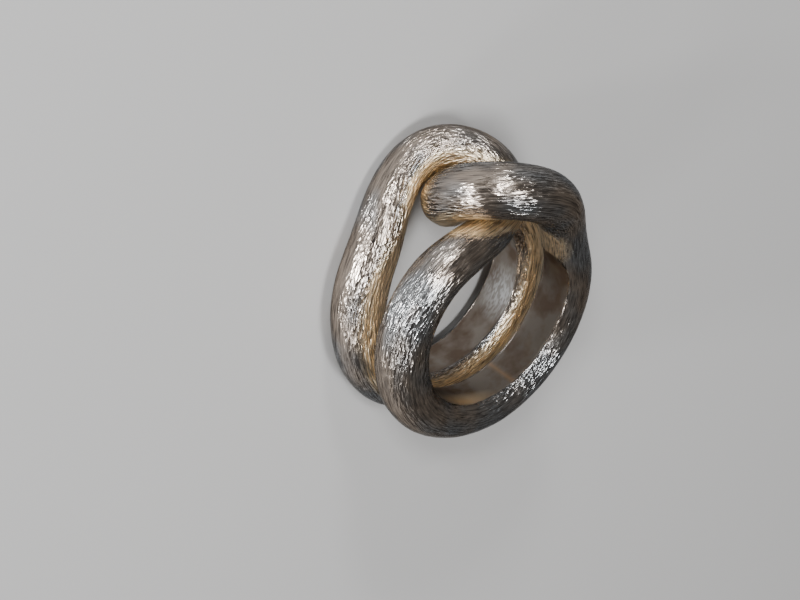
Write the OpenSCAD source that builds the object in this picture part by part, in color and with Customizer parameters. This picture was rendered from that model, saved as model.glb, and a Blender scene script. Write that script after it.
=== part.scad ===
// A ring made of one closed loop of thick round silver wire. The loop is folded into two bands that lie
// side by side round the finger, and its two bends hook through each other in a knot on the front.
// The origin is the middle of the finger hole and the knot faces -Y. The ring lies on its side. The knot
// is wider than the two bands, so it props the front up and the whole ring leans back a little.

/* [Finger hole] */
// Diameter of the hole that the finger goes through
finger_d = 18; // [16:0.5:20]

/* [Wire] */
// Thickness of the wire
wire_d = 5.3; // [4.9:0.1:5.5]
// How deep the turned hole cuts into the inside of the two bands
turned_off = 0.7; // [0.5:0.05:0.9]

/* [Bands] */
// Distance between the middles of the two bands
band_pitch = 6.4; // [6.3:0.05:7]
// How much broader than thick the wire is in the bands, which are hammered down round the finger
band_breadth = 1.1; // [1:0.02:1.1]

/* [Rest] */
// How far the knot tips the front of the ring up as it lies, in degrees
tip_front = 4.7; // [3:0.1:6]
// How far the ring tips towards its left as it lies, in degrees
tip_left = 2; // [0:0.1:4]

/* [Hidden] */

SIDES = 24; // sides of the wire's section
STEPS = 5; // rings of points between two rows of the route

hole_r = finger_d / 2;
// Radius of the circle on which the middle of a band runs
band_r = hole_r + wire_d / 2 - turned_off;
// Distance of a band's middle from the ring's middle, in wire thicknesses
half_pitch = band_pitch / 2 / wire_d;

// Columns of a bend's row: the turn round the ring from the middle of the knot in degrees, the place
// across the ring and the lift above the band's circle in wire thicknesses, then the girth of the wire in
// the first bend and in the second bend, and its breadth, as shares of its thickness.
TURN = 0;
ACROSS = 1;
LIFT = 2;
FIRST_GIRTH = 3;
SECOND_GIRTH = 4;
BREADTH = 5;

// From the side of the lower band over a bend to the side of the upper band.
BEND = [
    [-107, -half_pitch, 0, 0.98, 0.98, band_breadth],
    [-72, -0.83, -0.10, 1.05, 0.91, 1],
    [-46, -0.89, 0.01, 1.01, 0.84, 1],
    [-27, -1.08, 0.47, 0.89, 0.94, 1],
    [-10, -1.20, 0.84, 0.86, 1.06, 1],
    [5, -0.79, 0.96, 0.89, 1.08, 1],
    [12, -0.12, 0.77, 0.91, 1.03, 1],
    [13, 0.33, 0.27, 0.84, 1.02, 1],
    [1, 0.59, -0.13, 0.81, 0.93, 1],
    [-19, 0.69, -0.10, 0.88, 0.94, 1],
    [-40, 0.67, 0.03, 0.98, 0.97, 1],
    [-64, 0.61, 0.04, 0.99, 0.94, 1],
    [-99, half_pitch, 0, 0.98, 0.98, band_breadth]
];
BACK_GIRTH = 0.97; // girth of both bands round the back of the ring
BACK_ROWS = 4; // rows round the back of each band

// Columns of a route's row, which has only the girth that holds there.
GIRTH = 3;
SPREAD = 4;

// The second bend is the first one turned half round the line through the middle of the knot.
first = [for (row = BEND) [row[TURN], row[ACROSS], row[LIFT], row[FIRST_GIRTH], row[BREADTH]]];
second = [for (row = BEND) [-row[TURN] - 360, -row[ACROSS], row[LIFT], row[SECOND_GIRTH], row[BREADTH]]];
last = len(BEND) - 1;

// Rows in even steps between two rows, for a band round the back of the ring.
function back(a, b) = [
    for (i = [1:BACK_ROWS])
        let (
            row = a + (b - a) * i / (BACK_ROWS + 1),
            girth = i == 1 || i == BACK_ROWS ? (BACK_GIRTH + a[GIRTH]) / 2 : BACK_GIRTH
        )
        [row[TURN], row[ACROSS], row[LIFT], girth, row[SPREAD]]
];

route = concat(first, back(first[last], second[0]), second, back(second[last], first[0]));
rows = len(route);

// A smooth closed curve drawn by the rows: each stretch is blended from the four rows round it.
function blend(k, f) =
    let (
        a = route[(k + rows - 1) % rows],
        b = route[k % rows],
        c = route[(k + 1) % rows],
        d = route[(k + 2) % rows]
    )
    (a * pow(1 - f, 3) + b * (3 * pow(f, 3) - 6 * f * f + 4)
        + c * (1 + 3 * f + 3 * f * f - 3 * pow(f, 3)) + d * pow(f, 3)) / 6;

path = [for (k = [0:rows - 1], s = [0:STEPS - 1]) blend(k, s / STEPS)];
count = len(path);
function reach(row) = band_r + row[LIFT] * wire_d;
function place(row) = [-reach(row) * sin(row[TURN]), -reach(row) * cos(row[TURN]), row[ACROSS] * wire_d];
centre = [for (row = path) place(row)];

function unit(v) = v / norm(v);
// Direction of the wire at one of its rings of points.
function along(i) = unit(centre[(i + 1) % count] - centre[(i + count - 1) % count]);
// Direction away from the hole's axis, square to the wire.
function outward(i) =
    let (t = along(i), o = [centre[i].x, centre[i].y, 0])
    unit(o - t * (t * o));
function section(i) =
    let (
        thick = path[i][GIRTH] * wire_d / 2 * outward(i),
        broad = path[i][SPREAD] * cross(along(i), thick)
    )
    [for (s = [0:SIDES - 1]) centre[i] + thick * cos(360 * s / SIDES) + broad * sin(360 * s / SIDES)];

// The closed wire, before the hole is turned.
module wire() {
    points = [for (i = [0:count - 1]) each section(i)];
    faces = [
        for (i = [0:count - 1], s = [0:SIDES - 1])
            let (
                here = i * SIDES,
                next = (i + 1) % count * SIDES,
                t = (s + 1) % SIDES
            )
            each [[here + s, here + t, next + t], [here + s, next + t, next + s]]
    ];
    polyhedron(points, faces);
}

// The whole ring as it lies: the closed wire, with the finger hole turned through its inside.
module knot_wire() {
    color("silver")
    rotate([-tip_front, -tip_left, 0])
    difference() {
        wire();
        cylinder(r = hole_r, h = 8 * wire_d, center = true, $fn = 180);
    }
}

knot_wire();
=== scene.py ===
# %% [markdown]
# # A knot ring of forged silver wire
# The real ring is one thick round silver wire, closed into a loop, folded double round the finger and
# hooked through itself on the front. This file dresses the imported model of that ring. It loads the model
# as a fixed frame, makes one finished piece of silver in its place, and lights it on a pale table.

import math

import bpy
import numpy as np
from mathutils import Matrix, Vector


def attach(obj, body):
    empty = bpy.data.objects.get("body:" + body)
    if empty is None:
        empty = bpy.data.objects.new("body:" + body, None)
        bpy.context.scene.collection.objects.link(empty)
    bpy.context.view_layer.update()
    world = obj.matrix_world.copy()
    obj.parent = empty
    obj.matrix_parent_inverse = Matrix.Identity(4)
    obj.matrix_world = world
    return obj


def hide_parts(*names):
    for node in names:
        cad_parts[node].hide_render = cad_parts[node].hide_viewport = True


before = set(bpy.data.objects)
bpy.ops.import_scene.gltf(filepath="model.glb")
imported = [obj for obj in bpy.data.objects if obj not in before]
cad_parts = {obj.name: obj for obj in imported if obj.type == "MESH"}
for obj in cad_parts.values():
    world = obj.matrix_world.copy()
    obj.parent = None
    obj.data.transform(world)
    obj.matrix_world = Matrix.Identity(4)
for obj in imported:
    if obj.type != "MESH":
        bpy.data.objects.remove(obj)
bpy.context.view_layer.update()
MM = 0.001

# %% [markdown]
# ## The size of the ring
# A ring is sized by the hole that the finger goes through, so that comes first and everything else
# follows from it. The maker bends the wire first and turns the hole last, which leaves a flat strip
# along the inside of each band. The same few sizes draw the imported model, so both come out alike.

# %% Sizes of the hole and the wire
HOLE_R = 9.0 * MM
WIRE_D = 5.3 * MM
TURNED_OFF = 0.7 * MM
BAND_PITCH = 6.4 * MM
BAND_BREADTH = 1.1
BACK_GIRTH = 0.97
BAND_R = HOLE_R + WIRE_D / 2 - TURNED_OFF
HALF_PITCH = BAND_PITCH / 2 / WIRE_D
print("the middle of each band runs %.2f mm from the axis" % (BAND_R / MM))

# %% [markdown]
# ## The route of the wire
# A path like this could be drawn by eye as a curve, but a ring is easier to think about in turns round
# the finger. Each row of the table says how far round a point lies, how far across the ring, how far it
# is lifted off the finger, and how thick and how broad the wire is there. A knot like this one is the same
# when it is turned half round, so one table gives the route of both bends. Its numbers weren't chosen by
# hand: a search fitted the route to the picture of the real ring, and what it found was rounded.

# %% Rows of one bend
# Turn in degrees from the middle of the knot, place across and lift in wire thicknesses, the girth of the
# first and of the second bend as a share of the wire, and the breadth as a share of the girth.
TURN, ACROSS, LIFT, FIRST_GIRTH, SECOND_GIRTH, BREADTH = range(6)
BEND = np.array(
    [
        (-107, -HALF_PITCH, 0, 0.98, 0.98, BAND_BREADTH),
        (-72, -0.83, -0.10, 1.05, 0.91, 1),
        (-46, -0.89, 0.01, 1.01, 0.84, 1),
        (-27, -1.08, 0.47, 0.89, 0.94, 1),
        (-10, -1.20, 0.84, 0.86, 1.06, 1),
        (5, -0.79, 0.96, 0.89, 1.08, 1),
        (12, -0.12, 0.77, 0.91, 1.03, 1),
        (13, 0.33, 0.27, 0.84, 1.02, 1),
        (1, 0.59, -0.13, 0.81, 0.93, 1),
        (-19, 0.69, -0.10, 0.88, 0.94, 1),
        (-40, 0.67, 0.03, 0.98, 0.97, 1),
        (-64, 0.61, 0.04, 0.99, 0.94, 1),
        (-99, HALF_PITCH, 0, 0.98, 0.98, BAND_BREADTH),
    ]
)
print("%d rows give one bend" % len(BEND))

# %% [markdown]
# Turned half round the line through the middle of the knot, the rows give the second bend. Between the
# bends a band runs round the back of the ring, where nothing happens to it, so its rows are in even steps.

# %% Rows of the whole loop
BACK_ROWS = 4
# Columns of a row of the whole loop, which has only the girth that holds there.
GIRTH, BROADNESS = 3, 4


def rows_between(first, last):
    """Rows in even steps between two rows, for a band round the back of the ring."""
    steps = np.arange(1, BACK_ROWS + 1)[:, None] / (BACK_ROWS + 1)
    rows = first + (last - first) * steps
    rows[:, GIRTH] = BACK_GIRTH
    rows[[0, -1], GIRTH] = (BACK_GIRTH + first[GIRTH]) / 2
    return rows


def closed_route():
    """All rows of the closed loop: first bend, upper band, second bend, lower band."""
    first = BEND[:, [TURN, ACROSS, LIFT, FIRST_GIRTH, BREADTH]]
    second = BEND[:, [TURN, ACROSS, LIFT, SECOND_GIRTH, BREADTH]]
    second = second * (-1, -1, 1, 1, 1) - (360, 0, 0, 0, 0)
    upper = rows_between(first[-1], second[0])
    lower = rows_between(second[-1], first[0])
    return np.concatenate([first, upper, second, lower])


# %% [markdown]
# The spline is the same uniform cubic one that draws the model. It doesn't pass through the rows but is
# drawn by them, as a bent wire is drawn by the tools round it, so it has no kinks.

# %% Blend the rows into points
POINTS_PER_ROW = 20


def blended(rows, steps):
    """Points of a closed cubic spline, a fixed number of steps for each row."""
    at = np.arange(len(rows) * steps) / steps
    k = np.floor(at).astype(int)
    f = (at - k)[:, None]
    a, b, c, d = (rows[(k + shift) % len(rows)] for shift in (-1, 0, 1, 2))
    near = a * (1 - f) ** 3 + b * (3 * f**3 - 6 * f**2 + 4)
    far = c * (1 + 3 * f + 3 * f**2 - 3 * f**3) + d * f**3
    return (near + far) / 6


route = blended(closed_route(), POINTS_PER_ROW)
turn = np.radians(route[:, TURN])
reach = BAND_R + route[:, LIFT] * WIRE_D
centre = np.column_stack([-reach * np.sin(turn), -reach * np.cos(turn), route[:, ACROSS] * WIRE_D])
lengths = np.linalg.norm(np.roll(centre, -1, 0) - centre, axis=1)
wire_length = float(lengths.sum())
along = (np.cumsum(lengths) - lengths) / wire_length
print("%d points, %.1f mm of wire" % (len(centre), wire_length / MM))

# %% [markdown]
# ## A small kit for node trees
# The shape of the wire and its finish are both made of nodes. A few helpers keep the trees short to read:
# one adds a node and fills its inputs by name, the others do one sum each and hand back the result.


# %% Helpers that add and join nodes
def put(tree, kind, inputs=None, **settings):
    """Adds a node, and fills each named input with a value or with another node's output."""
    node = tree.nodes.new(kind)
    for key, value in settings.items():
        setattr(node, key, value)
    for key, value in (inputs or {}).items():
        if isinstance(value, bpy.types.NodeSocket):
            tree.links.new(value, node.inputs[key])
        else:
            node.inputs[key].default_value = value
    return node


def reckon(tree, operation, *values):
    """The result of one Math node."""
    return put(tree, "ShaderNodeMath", dict(enumerate(values)), operation=operation).outputs[0]


def vectors(tree, operation, *values):
    """The result of one Vector Math node: a number from a dot product or a length, or else a vector."""
    node = put(tree, "ShaderNodeVectorMath", dict(enumerate(values)), operation=operation)
    return node.outputs["Value" if operation in ("DOT_PRODUCT", "LENGTH") else "Vector"]


def scaled(tree, vector, factor):
    """A vector made longer or shorter."""
    return put(tree, "ShaderNodeVectorMath", {0: vector, "Scale": factor}, operation="SCALE").outputs[0]


def spread(tree, value, low, high, start=0.0, end=1.0):
    """A value from start to end, moved to the span from low to high and held inside it."""
    span = {"Value": value, "From Min": start, "From Max": end, "To Min": low, "To Max": high}
    return put(tree, "ShaderNodeMapRange", span).outputs[0]


# %% [markdown]
# ## Marks that run along the wire
# Hammer, file and brush all leave marks that follow the wire, and a plain noise would show a seam where the
# closed loop begins. So the noise is read in four dimensions: two of them run round the whole loop as a big
# circle, and two round the wire's section as a small one. Shrinking the first two draws the marks out.


# %% Noise that follows the wire
def marks(tree, grain, grain_w, scale, stretch, detail):
    """Seamless noise from 0 to 1, with its marks drawn out along the wire."""
    drawn_out = vectors(tree, "MULTIPLY", grain, (1 / stretch, 1 / stretch, 1))
    inputs = {"Vector": drawn_out, "W": grain_w, "Scale": scale, "Detail": detail}
    return put(tree, "ShaderNodeTexNoise", inputs, noise_dimensions="4D").outputs[0]


# %% [markdown]
# ## The forged wire
# The whole ring follows one path, so Geometry Nodes make it: a round section is swept along the route and
# its skin is dented a little as by a hammer. The bands of the real ring are hammered down round a mandrel,
# which spreads them a little, so each point is also moved away from the middle across the wire. What one
# step works out and a later one needs is stored on the points under a name.


# %% Helpers that read and store values on the points
def position(tree):
    """Where each point lies."""
    return put(tree, "GeometryNodeInputPosition").outputs[0]


def named(tree, name, kind="FLOAT"):
    """A value that an earlier step stored on the points."""
    return put(tree, "GeometryNodeInputNamedAttribute", {"Name": name}, data_type=kind).outputs[0]


def kept(tree, geometry, name, value, kind="FLOAT"):
    """Stores a value on the points, where the finish can read it, and returns the geometry."""
    inputs = {"Geometry": geometry, "Name": name}
    store = put(tree, "GeometryNodeStoreNamedAttribute", inputs, data_type=kind)
    tree.links.new(value, store.inputs["Value"])
    return store.outputs[0]


# %% Sweep the wire
def away_from_finger(tree, here, tangent):
    """The direction away from the hole's axis, square to the wire."""
    away = vectors(tree, "MULTIPLY", here, (1, 1, 0))
    slip = vectors(tree, "DOT_PRODUCT", away, tangent)
    return vectors(tree, "NORMALIZE", vectors(tree, "SUBTRACT", away, scaled(tree, tangent, slip)))


def swept_wire(tree, inlet):
    """The bare wire along the route, with its middle and the section's directions kept on the points."""
    here = position(tree)
    tangent = put(tree, "GeometryNodeInputTangent").outputs[0]
    away = away_from_finger(tree, here, tangent)
    curve = put(tree, "GeometryNodeMeshToCurve", {"Mesh": inlet["Geometry"]}).outputs[0]
    upright = put(tree, "GeometryNodeSetCurveNormal", {"Curve": curve, "Normal": away}, mode="FREE")
    path = kept(tree, upright.outputs[0], "middle", here, "FLOAT_VECTOR")
    path = kept(tree, path, "away", away, "FLOAT_VECTOR")
    circle = put(tree, "GeometryNodeCurvePrimitiveCircle", {"Resolution": inlet["Sides"], "Radius": 1.0})
    section = kept(tree, circle.outputs[0], "section", here, "FLOAT_VECTOR")
    half_thickness = reckon(tree, "MULTIPLY", inlet["Wire Thickness"], 0.5)
    radius = reckon(tree, "MULTIPLY", named(tree, "girth"), half_thickness)
    sweep = {"Curve": path, "Profile Curve": section, "Scale": radius}
    return put(tree, "GeometryNodeCurveToMesh", sweep).outputs[0]


def broadened(tree, mesh):
    """The sides of the section moved out where the wire is broader than thick."""
    away = named(tree, "away", "FLOAT_VECTOR")
    arm = vectors(tree, "SUBTRACT", position(tree), named(tree, "middle", "FLOAT_VECTOR"))
    across = vectors(tree, "SUBTRACT", arm, scaled(tree, away, vectors(tree, "DOT_PRODUCT", arm, away)))
    offset = scaled(tree, across, reckon(tree, "SUBTRACT", named(tree, "breadth"), 1.0))
    return put(tree, "GeometryNodeSetPosition", {"Geometry": mesh, "Offset": offset}).outputs[0]


# %% [markdown]
# The grain coordinates are stored next, because the dents already need them, and the finish will later.


# %% Grain of the wire
def grain_kept(tree, inlet, mesh):
    """Stores the four coordinates of the marks, in metres along and round the wire."""
    angle = reckon(tree, "MULTIPLY", named(tree, "along"), 2 * math.pi)
    big = reckon(tree, "MULTIPLY", inlet["Wire Length"], 1 / (2 * math.pi))
    small = reckon(tree, "MULTIPLY", inlet["Wire Thickness"], 0.5)
    section = put(tree, "ShaderNodeSeparateXYZ", {0: named(tree, "section", "FLOAT_VECTOR")})
    parts = {
        "X": reckon(tree, "MULTIPLY", reckon(tree, "COSINE", angle), big),
        "Y": reckon(tree, "MULTIPLY", reckon(tree, "SINE", angle), big),
        "Z": reckon(tree, "MULTIPLY", section.outputs[0], small),
    }
    grain = put(tree, "ShaderNodeCombineXYZ", parts).outputs[0]
    mesh = kept(tree, mesh, "grain", grain, "FLOAT_VECTOR")
    return kept(tree, mesh, "grain_w", reckon(tree, "MULTIPLY", section.outputs[1], small))


# %% Dents of the hammer and the file
# How many there are for each dent, how far they are drawn out along the wire, and their detail.
DENTS = (1.0, 1.4, 1.5)
PLANES = (2.2, 4.0, 1.0)


def dented(tree, inlet, mesh):
    """The skin moved in and out a little: hammer dents, and long shallow planes filed along the wire."""
    grain = named(tree, "grain", "FLOAT_VECTOR")
    seeded = reckon(tree, "ADD", named(tree, "grain_w"), inlet["Seed"])
    heights = []
    for number, stretch, detail in (DENTS, PLANES):
        scale = reckon(tree, "MULTIPLY", inlet["Dents per Metre"], number)
        heights.append(marks(tree, grain, seeded, scale, stretch, detail))
    height = reckon(tree, "SUBTRACT", reckon(tree, "ADD", *heights), 1.0)
    height = reckon(tree, "MULTIPLY", height, inlet["Dent Depth"])
    normal = put(tree, "GeometryNodeInputNormal").outputs[0]
    offset = scaled(tree, normal, height)
    return put(tree, "GeometryNodeSetPosition", {"Geometry": mesh, "Offset": offset}).outputs[0]


# %% [markdown]
# ## The turned hole
# The maker turns or grinds the hole last. A boolean would cut the same hole, but its edge would be a ragged
# row of slivers. Here whatever lies nearer the axis than the hole's radius is pushed out to it instead, and
# a smooth maximum rounds the shoulder, which catches a bright line of light as on the real ring.

# %% Turn the hole
# How far inside the hole's radius the wire's own skin ends, and how far inside it the hole's begins.
SKIN_ENDS = -0.03 * MM
HOLE_BEGINS = 0.07 * MM


def hole_turned(tree, inlet, mesh):
    """Pushes what lies inside the hole's radius out to it, and marks the flat that this leaves."""
    here = position(tree)
    radius = vectors(tree, "LENGTH", vectors(tree, "MULTIPLY", here, (1, 1, 0)))
    depth = reckon(tree, "SUBTRACT", inlet["Hole Radius"], radius)
    turned = spread(tree, depth, low=0, high=1, start=SKIN_ENDS, end=HOLE_BEGINS)
    mesh = kept(tree, mesh, "turned", turned)
    pushed = reckon(tree, "SMOOTH_MAX", radius, inlet["Hole Radius"], inlet["Shoulder"])
    grown = reckon(tree, "DIVIDE", pushed, radius)
    flat = vectors(tree, "MULTIPLY", scaled(tree, here, grown), (1, 1, 0))
    place = vectors(tree, "ADD", flat, vectors(tree, "MULTIPLY", here, (0, 0, 1)))
    return put(tree, "GeometryNodeSetPosition", {"Geometry": mesh, "Position": place}).outputs[0]


# %% [markdown]
# ## The creases
# The creases between the wires keep a duller finish than the brushed skin, and their warm colour is painted
# bounced light. Each point looks out of the skin in six directions, and the nearer the metal that it finds,
# the deeper it lies in a crease, so the mask follows any change of the knot.

# %% Find the creases
LOOKS = ((1, 0, 0), (-1, 0, 0), (0, 1, 0), (0, -1, 0), (0, 0, 1), (0, 0, -1))
# How far each look leans away from straight out, and how high above the skin it starts.
LEAN = 0.7
EYE_HEIGHT = 0.05 * MM
# Sums of what the looks find at which a crease begins and at which it is deepest.
CREASE_BEGINS = 0.2
CREASE_FULL = len(LOOKS) / 3
# How often the result is blurred from point to point.
BLURS = 8


def nearness(tree, inlet, mesh, start, way):
    """How near the metal is in one direction, from 0 when it's out of reach to 1 when it touches."""
    aim = {
        "Target Geometry": mesh,
        "Source Position": start,
        "Ray Direction": way,
        "Ray Length": inlet["Crease Reach"],
    }
    ray = put(tree, "GeometryNodeRaycast", aim).outputs
    clear = reckon(tree, "DIVIDE", ray["Hit Distance"], inlet["Crease Reach"])
    return reckon(tree, "MULTIPLY", reckon(tree, "SUBTRACT", 1.0, clear), ray["Is Hit"])


def creases_found(tree, inlet, mesh):
    """How closed in each point is, from 0 in the open to 1 deep in a crease."""
    normal = put(tree, "GeometryNodeInputNormal").outputs[0]
    start = vectors(tree, "ADD", position(tree), scaled(tree, normal, EYE_HEIGHT))
    total = 0.0
    for look in LOOKS:
        way = vectors(tree, "ADD", normal, [LEAN * part for part in look])
        total = reckon(tree, "ADD", total, nearness(tree, inlet, mesh, start, way))
    share = spread(tree, total, low=0, high=1, start=CREASE_BEGINS, end=CREASE_FULL)
    soft = put(tree, "GeometryNodeBlurAttribute", {"Value": share, "Iterations": BLURS}, data_type="FLOAT")
    return kept(tree, mesh, "crease", soft.outputs[0])


# %% [markdown]
# The steps are joined into one tree, whose sizes are inputs with names, so that another wire or another
# hole needs no new tree.

# %% Join the steps
SOCKETS = {
    "Geometry": "NodeSocketGeometry",
    "Wire Thickness": "NodeSocketFloat",
    "Wire Length": "NodeSocketFloat",
    "Sides": "NodeSocketInt",
    "Hole Radius": "NodeSocketFloat",
    "Shoulder": "NodeSocketFloat",
    "Dents per Metre": "NodeSocketFloat",
    "Dent Depth": "NodeSocketFloat",
    "Crease Reach": "NodeSocketFloat",
    "Seed": "NodeSocketFloat",
    "Metal": "NodeSocketMaterial",
}


def forged_wire_tree():
    """The node tree of the whole wire, with its sizes as named inputs."""
    tree = bpy.data.node_groups.new("Forged wire", "GeometryNodeTree")
    for name, kind in SOCKETS.items():
        tree.interface.new_socket(name, in_out="INPUT", socket_type=kind)
    tree.interface.new_socket("Geometry", in_out="OUTPUT", socket_type="NodeSocketGeometry")
    inlet = tree.nodes.new("NodeGroupInput").outputs
    mesh = broadened(tree, swept_wire(tree, inlet))
    mesh = dented(tree, inlet, grain_kept(tree, inlet, mesh))
    mesh = creases_found(tree, inlet, hole_turned(tree, inlet, mesh))
    mesh = put(tree, "GeometryNodeSetShadeSmooth", {"Geometry": mesh}).outputs[0]
    mesh = put(tree, "GeometryNodeRealizeInstances", {"Geometry": mesh}).outputs[0]
    mesh = put(tree, "GeometryNodeSetMaterial", {"Geometry": mesh, "Material": inlet["Metal"]}).outputs[0]
    put(tree, "NodeGroupOutput", {"Geometry": mesh})
    return tree


wire_tree = forged_wire_tree()
print("the wire's tree has %d nodes" % len(wire_tree.nodes))

# %% [markdown]
# ## Forged and brushed silver
# What tells forged silver from polished is its relief. Outside, the strokes of file and brush lie over each
# other along the wire, one or two tenths of a millimetre wide and some four times as long, over the flatter
# places that the hammer left, and long fine scratches lie over both. Three broader kinds of marks say where
# the silver is worn, how its tint changes, and where the hole is clouded.

# %% Marks of the silver
silver = bpy.data.materials.new("forged_silver")
silver.use_nodes = True
finish = silver.node_tree
# How many there are in a metre, how far they are drawn out along the wire, and their detail.
KINDS = {
    "strokes": (5600, 3.6, 0.6),
    "facets": (1100, 2.5, 1.0),
    "scratches": (9000, 14.0, 2.0),
    "wear": (330, 2.0, 1.0),
    "tints": (260, 1.5, 2.0),
    "clouds": (500, 1.5, 3.0),
}


def stored(name):
    """The outputs of a value that the wire's tree stored on the points."""
    return put(finish, "ShaderNodeAttribute", attribute_name=name).outputs


grain = stored("grain")["Vector"]
grain_w = stored("grain_w")["Fac"]
turned, crease, soldered = (stored(name)["Fac"] for name in ("turned", "crease", "soldered"))
mark = {name: marks(finish, grain, grain_w, *kind) for name, kind in KINDS.items()}
print("%d kinds of marks" % len(mark))

# %% [markdown]
# The marks are blended by a few more helpers. Where a stretch of the real ring follows no rule, a soft spot
# is given for it. Its place is read in the object's own coordinates, so that it stays on the metal.

# %% Helpers that blend the marks
# The part of a spot's reach within which it is full.
SPOT_CORE = 0.15


def layered(*layers):
    """A sum of values, each with its own weight."""
    total = 0.0
    for value, weight in layers:
        total = reckon(finish, "MULTIPLY_ADD", value, weight, total)
    return total


def mixed(share, first, second):
    """A number between two others."""
    return put(finish, "ShaderNodeMix", {0: share, 2: first, 3: second}).outputs[0]


def tinted(share, first, second):
    """A colour between two others."""
    inputs = {0: share, 6: first, 7: second}
    return put(finish, "ShaderNodeMix", inputs, data_type="RGBA").outputs[2]


# Soft spots here carry painted light: warm bounced light, a highlight and a reflection.
def soft_spot(place, reach):
    """A soft spot, 1 in its middle and 0 past its reach, both given in mm along the three axes."""
    here = put(finish, "ShaderNodeTexCoord").outputs["Object"]
    away = vectors(finish, "SUBTRACT", here, Vector(place) * MM)
    shares = vectors(finish, "DIVIDE", away, Vector(reach) * MM)
    return spread(finish, vectors(finish, "LENGTH", shares), low=1, high=0, start=SPOT_CORE)


# %% [markdown]
# The marks are far too fine for the mesh, so a bump does them. Wear takes the strokes down in places, and
# there the light runs together into whole streaks. The creases, and one shaded stretch beside the knot,
# take an even relief, and the same mask paints warm bounced light into their colour. The hole is only
# sanded, so its marks are shallow.

# %% Relief of the silver
MARK_DEPTH = 0.12 * MM
CREASE_RELIEF = 0.75
outside = layered((mark["strokes"], 2.2), (mark["facets"], 1.6), (mark["scratches"], 0.6))
inside = layered((mark["scratches"], 0.18), (mark["facets"], 0.3))
relief = mixed(turned, outside, inside)
# A shaded stretch beside the knot: like the creases, it takes an even relief and painted warm bounced
# light.
beside_knot = soft_spot((-5.8, -7.3, 5.5), (3.2, 4.4, 2.8))
crease_or_knot_spot = reckon(finish, "MAXIMUM", crease, beside_knot)
ragged = spread(finish, mark["facets"], low=0.7, high=1.5, start=0.3, end=0.7)
broken = reckon(finish, "MULTIPLY", crease_or_knot_spot, ragged)
# This mask evens the relief and dulls the finish of the creases, and paints warm bounced light into their
# colour.
unbrushed_and_bounce = spread(finish, broken, low=0, high=1, start=0.08, end=0.55)
worn = spread(finish, mark["wear"], low=1.0, high=0.35, start=0.46, end=0.60)
strength = mixed(unbrushed_and_bounce, worn, CREASE_RELIEF)
bump = put(finish, "ShaderNodeBump", {"Height": relief, "Distance": MARK_DEPTH, "Strength": strength})
print("relief of %d nodes" % len(finish.nodes))

# %% [markdown]
# Worn silver is much greyer than fresh silver, cool on some stretches and rosy on others, and darkest down
# in the finest scratches. The warm colour of the creases is painted bounced light. The hole is only sanded:
# a dark calm satin with clouds of brown, crossed in one place by a thin warm line where the ends of the
# wire were soldered together. Two more spots are given: a painted bright highlight on the hole's wall, and
# a painted warm reflection of the groove in a crescent at the back of the hole.

# %% Colours of the hole
SATIN = (0.34, 0.305, 0.27, 1)
CLOUD = (0.21, 0.16, 0.125, 1)
SOLDER = (0.75, 0.48, 0.28, 1)
# The bright colour of a painted highlight on the hole's wall.
PAINTED_HIGHLIGHT = (0.85, 0.87, 0.88, 1)
# The warm colour of painted bounced light, for the creases and a crescent of the hole.
WARM_BOUNCE = (1, 0.82, 0.58, 1)
SOLDER_SHARE = 0.5
clouded = spread(finish, mark["clouds"], low=0, high=1, start=0.45, end=0.65)
# A painted highlight on the hole's wall, broken up by the strokes.
highlight_strokes = spread(finish, mark["strokes"], low=0.4, high=1, start=0.4, end=0.6)
painted_highlight = reckon(finish, "MULTIPLY", soft_spot((-8.2, 3.2, -3.2), (3.4, 3.4, 2.8)), highlight_strokes)
# A painted warm reflection of the groove, in a crescent at the back of the hole.
painted_crescent_reflection = soft_spot((2.6, 8.8, 3.9), (4.4, 3, 1.7))
hole_colour = tinted(clouded, SATIN, CLOUD)
hole_colour = tinted(reckon(finish, "MULTIPLY", soldered, SOLDER_SHARE), hole_colour, SOLDER)
hole_colour = tinted(painted_highlight, hole_colour, PAINTED_HIGHLIGHT)
hole_colour = tinted(painted_crescent_reflection, hole_colour, WARM_BOUNCE)
print("the finish has %d nodes with the hole's colours" % len(finish.nodes))

# %% Colours of the skin
COOL = (0.38, 0.395, 0.41, 1)
ROSY = (0.46, 0.39, 0.33, 1)
HOLLOW = (0.1, 0.09, 0.085, 1)
rosiness = spread(finish, mark["tints"], low=0, high=1, start=0.4, end=0.6)
hollows = spread(finish, mark["scratches"], low=0.85, high=0, start=0.35, end=0.58)
skin_colour = tinted(rosiness, COOL, ROSY)
# Painted bounced light: the creases and a shaded stretch beside the knot turn warm.
skin_colour = tinted(unbrushed_and_bounce, skin_colour, WARM_BOUNCE)
skin_colour = tinted(hollows, skin_colour, HOLLOW)
colour = tinted(turned, skin_colour, hole_colour)
print("the finish has %d nodes with all its colours" % len(finish.nodes))

# %% [markdown]
# Roughness sets how sharp the reflections are. The tops of the strokes are burnished by wear and the
# hollows between them stay duller, which gives the broken sparkle along the lit flanks. A clean metal turns
# white where it's seen edge-on, but a greyed skin doesn't, so the tint for those angles is held down.

# %% Roughness, and the shader
CREASE_ROUGHNESS = 0.31
EDGE_ON = (0.3, 0.3, 0.3, 1)
brushed_rough = spread(finish, mark["strokes"], low=0.28, high=0.14, start=0.35, end=0.65)
skin_rough = mixed(unbrushed_and_bounce, brushed_rough, CREASE_ROUGHNESS)
hole_rough = spread(finish, clouded, low=0.30, high=0.38)
shader = finish.nodes["Principled BSDF"]
shader.inputs["Metallic"].default_value = 1.0
shader.inputs["Specular Tint"].default_value = EDGE_ON
finish.links.new(colour, shader.inputs["Base Color"])
finish.links.new(mixed(turned, skin_rough, hole_rough), shader.inputs["Roughness"])
finish.links.new(bump.outputs[0], shader.inputs["Normal"])
print("the finish has %d nodes" % len(finish.nodes))

# %% [markdown]
# ## Making the piece
# The route goes in as a bare loop of points. They carry their girth and breadth, how far along the wire
# they are, and where its ends are soldered together, which is at the back of the upper band.

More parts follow.
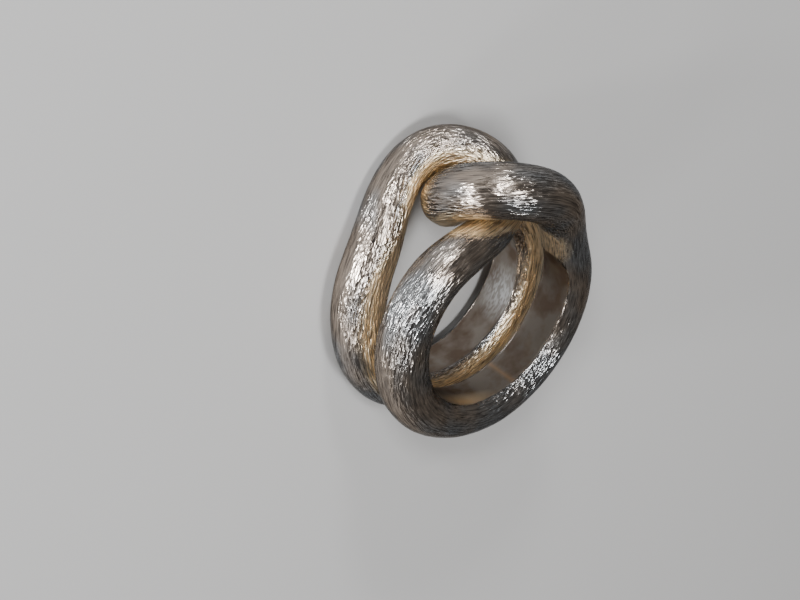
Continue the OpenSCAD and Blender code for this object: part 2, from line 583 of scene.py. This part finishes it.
# %% The route as a loop of points
SOLDER_TURN = -204
SOLDER_WIDTH = 0.3 * MM
in_upper_band = route[:, ACROSS] > 0
off_joint = np.where(in_upper_band, np.abs(route[:, TURN] - SOLDER_TURN), np.inf)
joint = along[np.argmin(off_joint)]
soldered_share = np.exp(-(((along - joint) * wire_length / SOLDER_WIDTH) ** 2))
carried = {
    "girth": route[:, GIRTH],
    "breadth": route[:, BROADNESS],
    "along": along,
    "soldered": soldered_share,
}
loop = bpy.data.meshes.new("wire_route")
edges = [(i, (i + 1) % len(centre)) for i in range(len(centre))]
loop.from_pydata(centre.tolist(), edges, [])
for name, values in carried.items():
    attribute = loop.attributes.new(name, "FLOAT", "POINT")
    attribute.data.foreach_set("value", values.astype(np.float32))
print("each of %d points carries %d values" % (len(centre), len(carried)))

# %% [markdown]
# The tree turns the loop into metal, and the result is kept as a plain mesh, because a finished piece
# should hold no live steps.

# %% Make the wire's mesh
SETTINGS = {
    "Wire Thickness": WIRE_D,
    "Wire Length": wire_length,
    "Sides": 140,
    "Hole Radius": HOLE_R,
    "Shoulder": 0.22 * MM,
    "Dents per Metre": 260.0,
    "Dent Depth": 0.22 * MM,
    "Crease Reach": 6.0 * MM,
    "Seed": 4.0,
    "Metal": silver,
}


def placed(name, data):
    """A new object in the scene."""
    thing = bpy.data.objects.new(name, data)
    bpy.context.scene.collection.objects.link(thing)
    return thing


piece = placed("knot_wire_silver", loop)
forging = piece.modifiers.new("Forged wire", "NODES")
forging.node_group = wire_tree
for socket in wire_tree.interface.items_tree:
    if socket.in_out == "INPUT" and socket.name in SETTINGS:
        forging[socket.identifier] = SETTINGS[socket.name]
forged = piece.evaluated_get(bpy.context.evaluated_depsgraph_get())
metal = bpy.data.meshes.new_from_object(forged)
piece.modifiers.remove(forging)
piece.data = metal
print("%d points and %d faces" % (len(metal.vertices), len(metal.polygons)))

# %% [markdown]
# The tree works with the hole's axis upright. The ring itself lies on its side, and as the knot is wider
# than the bands, it props the front up by a few degrees. The mesh is tipped the same way, and its faces
# are checked to look outward: the volume that they enclose comes out positive only if they do.

# %% Tip the ring as it lies
TIP_FRONT = 4.7
TIP_LEFT = 2.0
tip_back = Matrix.Rotation(math.radians(-TIP_FRONT), 4, "X")
tip_over = Matrix.Rotation(math.radians(-TIP_LEFT), 4, "Y")
metal.transform(tip_over @ tip_back)


def enclosed(mesh):
    """The volume inside a closed mesh, which is negative when its faces look inward."""
    return sum((face.center.dot(face.normal) * face.area for face in mesh.polygons), 0.0) / 3


if enclosed(metal) < 0:
    metal.flip_normals()
print("the silver encloses %.0f cubic mm" % (enclosed(metal) / MM**3))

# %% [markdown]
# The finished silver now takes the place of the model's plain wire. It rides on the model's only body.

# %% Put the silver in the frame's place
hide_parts("knot_wire")
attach(piece, "root")
print("dressed knot_wire")

# %% [markdown]
# ## The table, the camera and the light
# The table is one plain pale card. It lies at the ring's own lowest point, so that the ring touches it, and
# its edges are far outside the picture.

# %% Table
TABLE_HALF = 1.0
PALE = (0.56, 0.56, 0.56, 1)
lowest = min(vertex.co.z for vertex in metal.vertices)
corners = [(x * TABLE_HALF, y * TABLE_HALF, lowest) for x, y in ((-1, -1), (1, -1), (1, 1), (-1, 1))]
table_mesh = bpy.data.meshes.new("table")
table_mesh.from_pydata(corners, [], [(0, 1, 2, 3)])
card = bpy.data.materials.new("pale_card")
card.use_nodes = True
card_shader = card.node_tree.nodes["Principled BSDF"]
card_shader.inputs["Base Color"].default_value = PALE
card_shader.inputs["Roughness"].default_value = 0.8
table_mesh.materials.append(card)
placed("table", table_mesh)
print("table at %.2f mm" % (lowest / MM))

# %% [markdown]
# The picture that the ring was made from shows it from about 40 degrees above the side that it lies on.
# A long lens keeps the two bands nearly alike in size. The camera is rolled, so that the knot is on top.
# The same search that found the route found the camera's place and lens.

# %% Camera
VIEW_TURN = 48.06
VIEW_HEIGHT = 40.59
VIEW_ROLL = 122.8
EYE = Vector((-6.31, 0.22, 302.41)) * MM
LENS = 135.1


def facing(turn_to, height, roll=0.0):
    """A turn that looks back at the ring from a place round it, measured from the knot, and above it."""
    swing = Matrix.Rotation(math.radians(turn_to), 4, "Z")
    lift = Matrix.Rotation(math.radians(90 - height), 4, "X")
    return swing @ lift @ Matrix.Rotation(math.radians(roll), 4, "Z")


camera = placed("camera", bpy.data.cameras.new("camera"))
camera.data.lens = LENS
camera.data.sensor_width = 36.0
camera.data.clip_start = 0.01
camera.data.clip_end = 10.0
camera.matrix_world = facing(VIEW_TURN, VIEW_HEIGHT, VIEW_ROLL) @ Matrix.Translation(EYE)
bpy.context.scene.camera = camera
print("camera at", [round(part / MM) for part in camera.matrix_world.translation])

# %% [markdown]
# Silver shows whatever stands round it, so each lamp stands where a highlight of the real ring points. The
# key is almost level with the table and draws the streaks down the legs, with a wider one beside it for
# their feet. One in front finds the knot, a low one lights the near leg where it rises into it, and one
# overhead lights the table. The lamps are fairly small, because the strokes already spread their light, and
# a very wide one would fill the dark bands without which no metal looks like metal. The room is only dim.

# %% Light
ROOM = (0.17, 0.162, 0.154, 1)
# Name, turn and height in degrees, distance and size in metres, and power in watts.
LIGHTS = (
    ("key", 80, 4, 0.5, 0.07, 2.5),
    ("side", 116, 12, 0.5, 0.12, 0.8),
    ("front", 42, 34, 0.5, 0.07, 1.15),
    ("low", 12, 20, 0.5, 0.07, 0.95),
    ("above", 62, 74, 0.5, 0.12, 1.5),
)
for name, turn_to, height, distance, size, power in LIGHTS:
    lamp = placed(name, bpy.data.lights.new(name, "AREA"))
    lamp.data.size = size
    lamp.data.energy = power
    lamp.matrix_world = facing(turn_to, height) @ Matrix.Translation((0, 0, distance))

world = bpy.data.worlds.new("room")
world.use_nodes = True
world.node_tree.nodes["Background"].inputs["Color"].default_value = ROOM
bpy.context.scene.world = world
print("%d lamps" % len(LIGHTS))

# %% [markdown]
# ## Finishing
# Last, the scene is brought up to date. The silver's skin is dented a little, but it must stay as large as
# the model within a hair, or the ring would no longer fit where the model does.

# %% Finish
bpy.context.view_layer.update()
